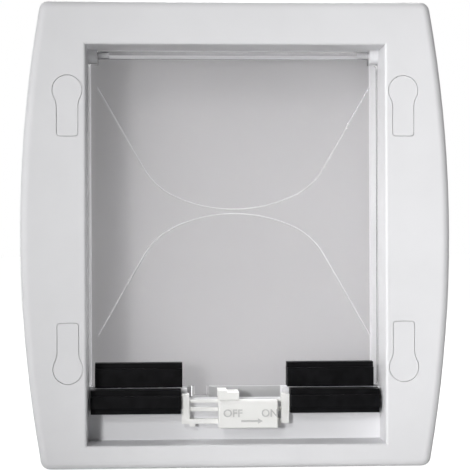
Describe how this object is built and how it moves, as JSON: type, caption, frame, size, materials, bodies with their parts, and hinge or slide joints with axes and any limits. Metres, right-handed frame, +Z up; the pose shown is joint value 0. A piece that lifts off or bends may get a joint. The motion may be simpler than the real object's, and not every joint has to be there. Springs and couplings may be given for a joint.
{
  "type": "cat flap",
  "caption": "Four-way style pet door: bowed white frame round a tunnel, clear top-hung swinging flap, magnetic closers and a slide lock on the sill.",
  "frame": {"origin": "centre of the inner frame's outline, on the face that lies against the room side of the door", "axes": "+X to the right seen from the room, +Y through the door to the outside, +Z up"},
  "size_m": [0.236, 0.066, 0.256],
  "materials": {
    "white_plastic": "satin moulded white plastic",
    "clear_plastic": "clear, slightly smoky, polished",
    "black_plastic": "black, low gloss",
    "magnet": "sintered, dark grey",
    "steel": "bright zinc",
    "lock_white": "satin moulded plastic, slightly cream"
  },
  "bodies": {
    "frame": {"inner_frame": "white_plastic", "outer_frame": "white_plastic", "hinge_clip_left": "white_plastic", "hinge_clip_right": "white_plastic", "sill_magnet_holder_left": "black_plastic", "sill_magnet_holder_right": "black_plastic", "sill_magnet_left": "magnet", "sill_magnet_right": "magnet", "lock_rail": "lock_white", "screw_cover_top_left": "white_plastic", "screw_cover_top_right": "white_plastic", "screw_cover_bottom_left": "white_plastic", "screw_cover_bottom_right": "white_plastic", "fixing_screws": "steel"},
    "flap": {"flap_panel": "clear_plastic", "hinge_pin_left": "white_plastic", "hinge_pin_right": "white_plastic", "flap_magnet_holder_left": "black_plastic", "flap_magnet_holder_right": "black_plastic", "flap_magnet_left": "magnet", "flap_magnet_right": "magnet"},
    "lock": {"lock_slider": "lock_white"}
  },
  "joints": [
    {"name": "flap_swing", "type": "hinge", "parent": "frame", "child": "flap", "pos_m": [0, 0.017, 0.1012], "axis": [1, 0, 0], "range_deg": [-85, 85]},
    {"name": "lock_slide", "type": "slide", "parent": "frame", "child": "lock", "axis": [1, 0, 0], "range_m": [-0.0145, 0]}
  ]
}
